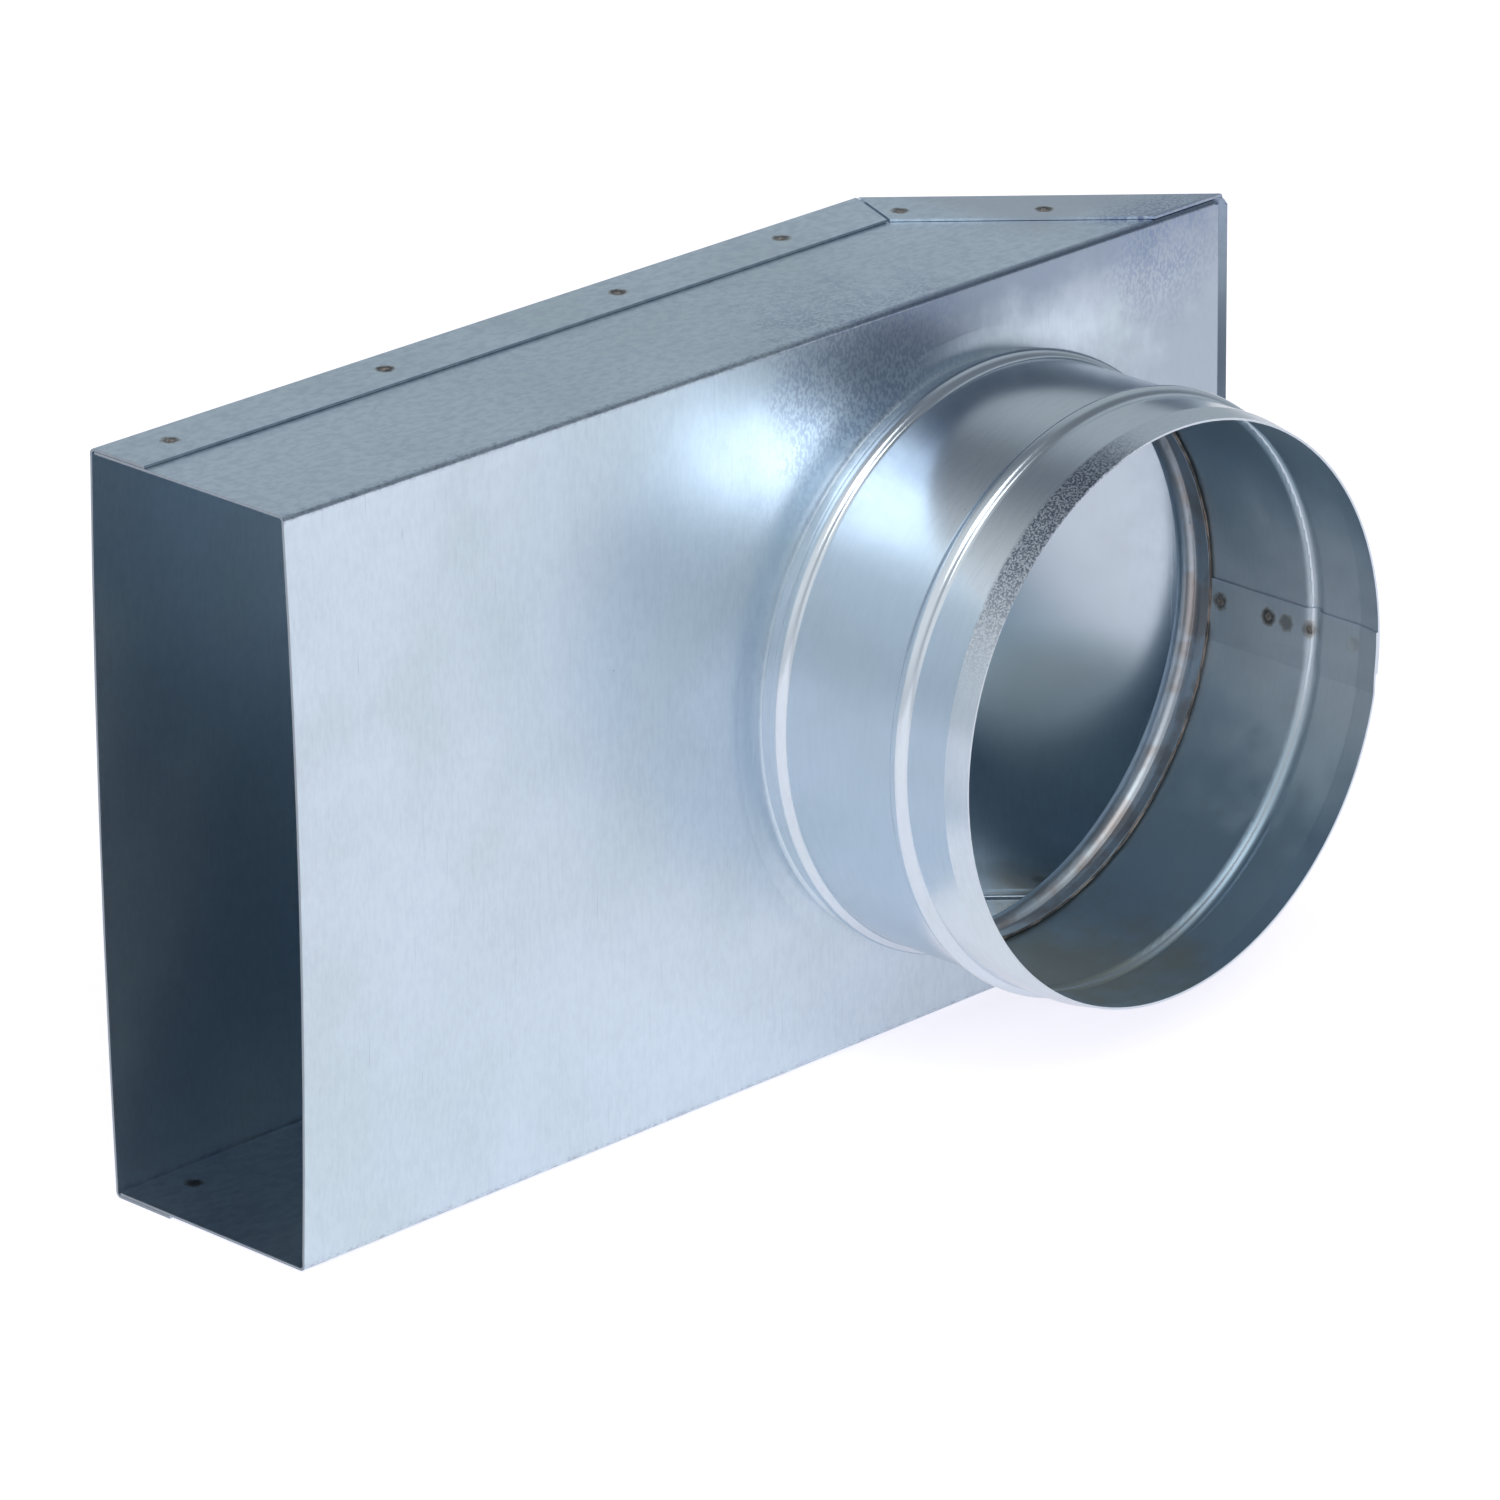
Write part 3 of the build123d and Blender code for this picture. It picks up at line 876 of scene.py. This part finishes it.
tree, given = new_geometry_tree("crumbs_on_welds", crumb_sizes)
place = add(tree, "GeometryNodeInputPosition")
inputs = {"Geometry": given["Geometry"], "Name": "middle", "Value": place}
marked = add(tree, "GeometryNodeStoreNamedAttribute", inputs, **VECTORS)
facing = add(tree, "GeometryNodeInputNamedAttribute", ["facing"], **VECTORS)
upright = add(tree, "FunctionNodeAlignRotationToVector", {"Vector": facing}, axis="Z")
flat = add(tree, "ShaderNodeCombineXYZ", [given["Radius"], given["Radius"], given["Thickness"]])
ball = add(tree, "GeometryNodeMeshIcoSphere", {"Radius": 1.0, "Subdivisions": 4})
inputs = {"Points": marked, "Instance": ball, "Rotation": upright, "Scale": flat}
placed = add(tree, "GeometryNodeInstanceOnPoints", inputs)
real = add(tree, "GeometryNodeRealizeInstances", [placed])
print("balls on", len(crumb_places), "points")

# %% Unevenness of the crumbs
middle = add(tree, "GeometryNodeInputNamedAttribute", ["middle"], **VECTORS)
outwards = add(tree, "ShaderNodeVectorMath", [place, middle], operation="SUBTRACT")
inputs = {"Vector": place, "W": given["Seed"], "Scale": CRUMB_LUMPS_PER_MM / MM, "Detail": 2.0}
noise = add(tree, "ShaderNodeTexNoise", inputs, noise_dimensions="4D")
swing = add(tree, "ShaderNodeMath", [noise, 0.5], operation="SUBTRACT")
swing = add(tree, "ShaderNodeMath", [swing, given["Unevenness"]], operation="MULTIPLY")
push = add(tree, "ShaderNodeVectorMath", [outwards, swing], operation="SCALE")
uneven = add(tree, "GeometryNodeSetPosition", {"Geometry": real, "Offset": push})
close_geometry_tree(tree, uneven, given["Material"])
run_geometry_tree(crumbs, tree, crumb_sizes, residue)
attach(crumbs, "root")

# %% [markdown]
# ## Burr on the neck's free edge
#
# The neck was drawn out of a hole sawn in the front panel, and its free edge, which shows
# inside the spigot, kept the ragged burr. A burr follows its edge, so it starts as a curve:
# a circle, cut into short pieces, whose points noise pushes along the axis, with a thin
# round section drawn along it.

# %% Ragged burr
BURR_LUMPS_PER_MM = 0.22
BURR_POINTS = 700
BURR_SECTION_POINTS = 6
burr_sizes = {
    "Circle radius": NECK_RADIUS * MM,
    "Thickness": 0.4 * MM,
    "Raggedness": 1.1 * MM,
    "Seed": 3,
}

tree, given = new_geometry_tree("ragged_burr", burr_sizes)
inputs = {"Resolution": BURR_POINTS, "Radius": given["Circle radius"]}
circle = add(tree, "GeometryNodeCurvePrimitiveCircle", inputs)
burr_centre = tuple((spigot_centre + Vector((0, -NECK_REACH, 0))) * MM)
facing_front = (math.radians(90), 0, 0)
inputs = {"Geometry": circle, "Translation": burr_centre, "Rotation": facing_front}
turned = add(tree, "GeometryNodeTransform", inputs)
place = add(tree, "GeometryNodeInputPosition")
inputs = {"Vector": place, "W": given["Seed"], "Scale": BURR_LUMPS_PER_MM / MM, "Detail": 3.0}
noise = add(tree, "ShaderNodeTexNoise", inputs, noise_dimensions="4D")
swing = add(tree, "ShaderNodeMath", [noise, 0.5], operation="SUBTRACT")
swing = add(tree, "ShaderNodeMath", [swing, given["Raggedness"]], operation="MULTIPLY")
push = add(tree, "ShaderNodeCombineXYZ", {"Y": swing})
ragged = add(tree, "GeometryNodeSetPosition", {"Geometry": turned, "Offset": push})
inputs = {"Resolution": BURR_SECTION_POINTS, "Radius": given["Thickness"]}
section = add(tree, "GeometryNodeCurvePrimitiveCircle", inputs)
wire = add(tree, "GeometryNodeCurveToMesh", [ragged, section])
close_geometry_tree(tree, wire, given["Material"])
print("burr of", BURR_POINTS, "points")

# %% [markdown]
# On the torn edge the zinc is gone. Bare steel is darker than zinc, and it has begun to
# rust, so it is rougher and slightly brown. Its dark grey is also painted shade, standing
# for the shade in the gap at the neck's free edge.

# %% Torn steel on the burr
TORN_STEEL_AND_SHADE_TONES = ("#5E5A57", "#9C8F86")
TORN_LUMPS = (6.0, 6.0, 6.0)
TORN_LIMITS = (0.4, 0.65, 0.0, 1.0)


def make_burr_steel_and_shade():
    """Torn steel edge, where the zinc is gone: dark grey, partly painted shade, slightly brown.
    """
    material, tree = new_material("torn_steel_edge_and_shade")
    # The dark grey is partly painted shade for the gap at the neck's free edge.
    dark, brown = TORN_STEEL_AND_SHADE_TONES
    mottle = lumps(tree, position_in_mm(tree), TORN_LUMPS, detail=2.0)
    colour = toned(tree, linear(dark), brown, mottle, TORN_LIMITS)
    inputs = {"Base Color": colour, "Metallic": 0.8, "Roughness": 0.5}
    steel = add(tree, "ShaderNodeBsdfPrincipled", inputs)
    add(tree, "ShaderNodeOutputMaterial", [steel])
    return material


burr_start = bpy.data.meshes.new("neck_burr")
burr = bpy.data.objects.new("neck_burr", burr_start)
bpy.context.scene.collection.objects.link(burr)
run_geometry_tree(burr, tree, burr_sizes, make_burr_steel_and_shade())
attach(burr, "root")

# %% [markdown]
# ## Floor
#
# A large pale floor fills the whole picture behind the object, so no backdrop is needed. It
# is plain matt white. Camera rays and mirror rays see it a little lighter than the lamp and
# the room alone would make it, which keeps the background white while the soft shadow stays.

# %% Floor
FLOOR_SIDE = 12.0
FLOOR_DROP = 0.0002
floor_mesh = bpy.data.meshes.new("studio_floor")
half = FLOOR_SIDE / 2
corners = [(-half, -half), (half, -half), (half, half), (-half, half)]
floor_mesh.from_pydata([(x, y, -FLOOR_DROP) for x, y in corners], [], [(0, 1, 2, 3)])
floor = bpy.data.objects.new("studio_floor", floor_mesh)
bpy.context.scene.collection.objects.link(floor)
print("floor of", FLOOR_SIDE, "m")

# %% Floor paint
MIRROR_GLOW = 0.47
CAMERA_GLOW = 0.62
FLOOR_WHITE = "#EEEEEE"
GLOW_WHITE = "#FFF8FE"
floor_paint, tree = new_material("matt_white_floor_paint")
matt = add(tree, "ShaderNodeBsdfDiffuse", [linear(FLOOR_WHITE)])
ray = add(tree, "ShaderNodeLightPath").node.outputs
mirrored = add(tree, "ShaderNodeMath", [ray["Is Glossy Ray"], ray["Is Transmission Ray"]])
mirrored = add(tree, "ShaderNodeMath", [mirrored, MIRROR_GLOW], operation="MULTIPLY")
direct = add(tree, "ShaderNodeMath", [ray["Is Camera Ray"], CAMERA_GLOW], operation="MULTIPLY")
strength = add(tree, "ShaderNodeMath", [mirrored, direct])
glow = add(tree, "ShaderNodeEmission", [linear(GLOW_WHITE), strength])
lit = add(tree, "ShaderNodeAddShader", [matt, glow])
add(tree, "ShaderNodeOutputMaterial", [lit])
floor_mesh.materials.append(floor_paint)
print(floor_paint.name)

# %% [markdown]
# ## Light
#
# Metal shows its surroundings, so the light is made of surroundings: a room that is pale on
# the left, where a white wall would stand, mid grey behind on the right, and darker in
# front on the right. One large soft lamp in front draws the bright patch on the spigot,
# partly by way of the front panel, which ends that patch in a sharp edge.

# %% Room
ROOM_PALE = "#F4F6F8"
ROOM_DARK = "#787F87"
ROOM_LOW = "#DDE0E4"
ROOM_BACK = "#B4BCC2"
LEFT_LIMITS = (-0.65, 0.10, 1.0, 0.0)
RIGHT_LIMITS = (0.15, 0.50, 0.0, 1.0)
BEHIND_LIMITS = (-0.45, 0.10, 0.0, 1.0)
LOW_LIMITS = (0.10, 0.38, 1.0, 0.0)

world = bpy.data.worlds.new("pale_room")
bpy.context.scene.world = world
world.use_nodes = True
tree = world.node_tree
tree.nodes.clear()
looking = add(tree, "ShaderNodeTexCoord").node.outputs["Generated"]
x, y, z = add(tree, "ShaderNodeSeparateXYZ", [looking]).node.outputs
right = add(tree, "ShaderNodeMapRange", [x, *RIGHT_LIMITS], **SMOOTH)
back_right = faded(tree, right, y, BEHIND_LIMITS)
room = [back_right, linear(ROOM_DARK), linear(ROOM_BACK)]
room = add(tree, "ShaderNodeMix", room, **COLOURS)
wall = toned(tree, linear(ROOM_PALE), ROOM_LOW, z, LOW_LIMITS)
left = add(tree, "ShaderNodeMapRange", [x, *LEFT_LIMITS], **SMOOTH)
room = add(tree, "ShaderNodeMix", [left, room, wall], **COLOURS)
sky = add(tree, "ShaderNodeBackground", [room, 1.0])
add(tree, "ShaderNodeOutputWorld", [sky])
print("room made")

# %% Lamp
LAMP_PLACE = Vector((-0.40, -1.50, 1.74))
LAMP_AIM = Vector((0.02, -0.05, 0.15))
LAMP_SIDE = 1.15
LAMP_POWER = 12.5

lamp_data = bpy.data.lights.new("front_softbox", "AREA")
lamp_data.shape = "SQUARE"
lamp_data.size = LAMP_SIDE
lamp_data.energy = LAMP_POWER
lamp = bpy.data.objects.new("front_softbox", lamp_data)
lamp.location = LAMP_PLACE
lamp.rotation_euler = (LAMP_AIM - LAMP_PLACE).to_track_quat("-Z", "Y").to_euler()
bpy.context.scene.collection.objects.link(lamp)
print("one lamp,", LAMP_SIDE, "m wide")

# %% [markdown]
# ## Camera
#
# A long lens from the front left, above the object, gives the picture's angle. The camera
# is placed by the line from its place to a point near the middle of the object, with a
# slight roll. Its axes are written straight into a matrix: right, up, and backwards.

# %% Camera
CAMERA_PLACE = Vector((-1.67903, -1.66058, 1.01819))
CAMERA_AIM = Vector((-0.01122, 0.0007, 0.0951))
CAMERA_ROLL = -0.01
CAMERA_LENS = 237.2
CAMERA_SENSOR = 36.0

camera_data = bpy.data.cameras.new("camera")
camera_data.lens = CAMERA_LENS
camera_data.sensor_width = CAMERA_SENSOR
camera = bpy.data.objects.new("camera", camera_data)
bpy.context.scene.collection.objects.link(camera)
ahead = (CAMERA_AIM - CAMERA_PLACE).normalized()
level = ahead.cross(Vector((0, 0, 1))).normalized()
above = level.cross(ahead)
rightwards = level * math.cos(CAMERA_ROLL) + above * math.sin(CAMERA_ROLL)
upwards = rightwards.cross(ahead)
axes = Matrix((rightwards, upwards, -ahead)).transposed()
camera.matrix_world = Matrix.Translation(CAMERA_PLACE) @ axes.to_4x4()
bpy.context.scene.camera = camera
print("camera", round((CAMERA_PLACE - CAMERA_AIM).length, 2), "m away")

# %% [markdown]
# The hex values above were picked for the Standard view transform, which shows a colour as
# it was written.

# %% Colour management
bpy.context.scene.view_settings.view_transform = "Standard"
print("view transform:", bpy.context.scene.view_settings.view_transform)
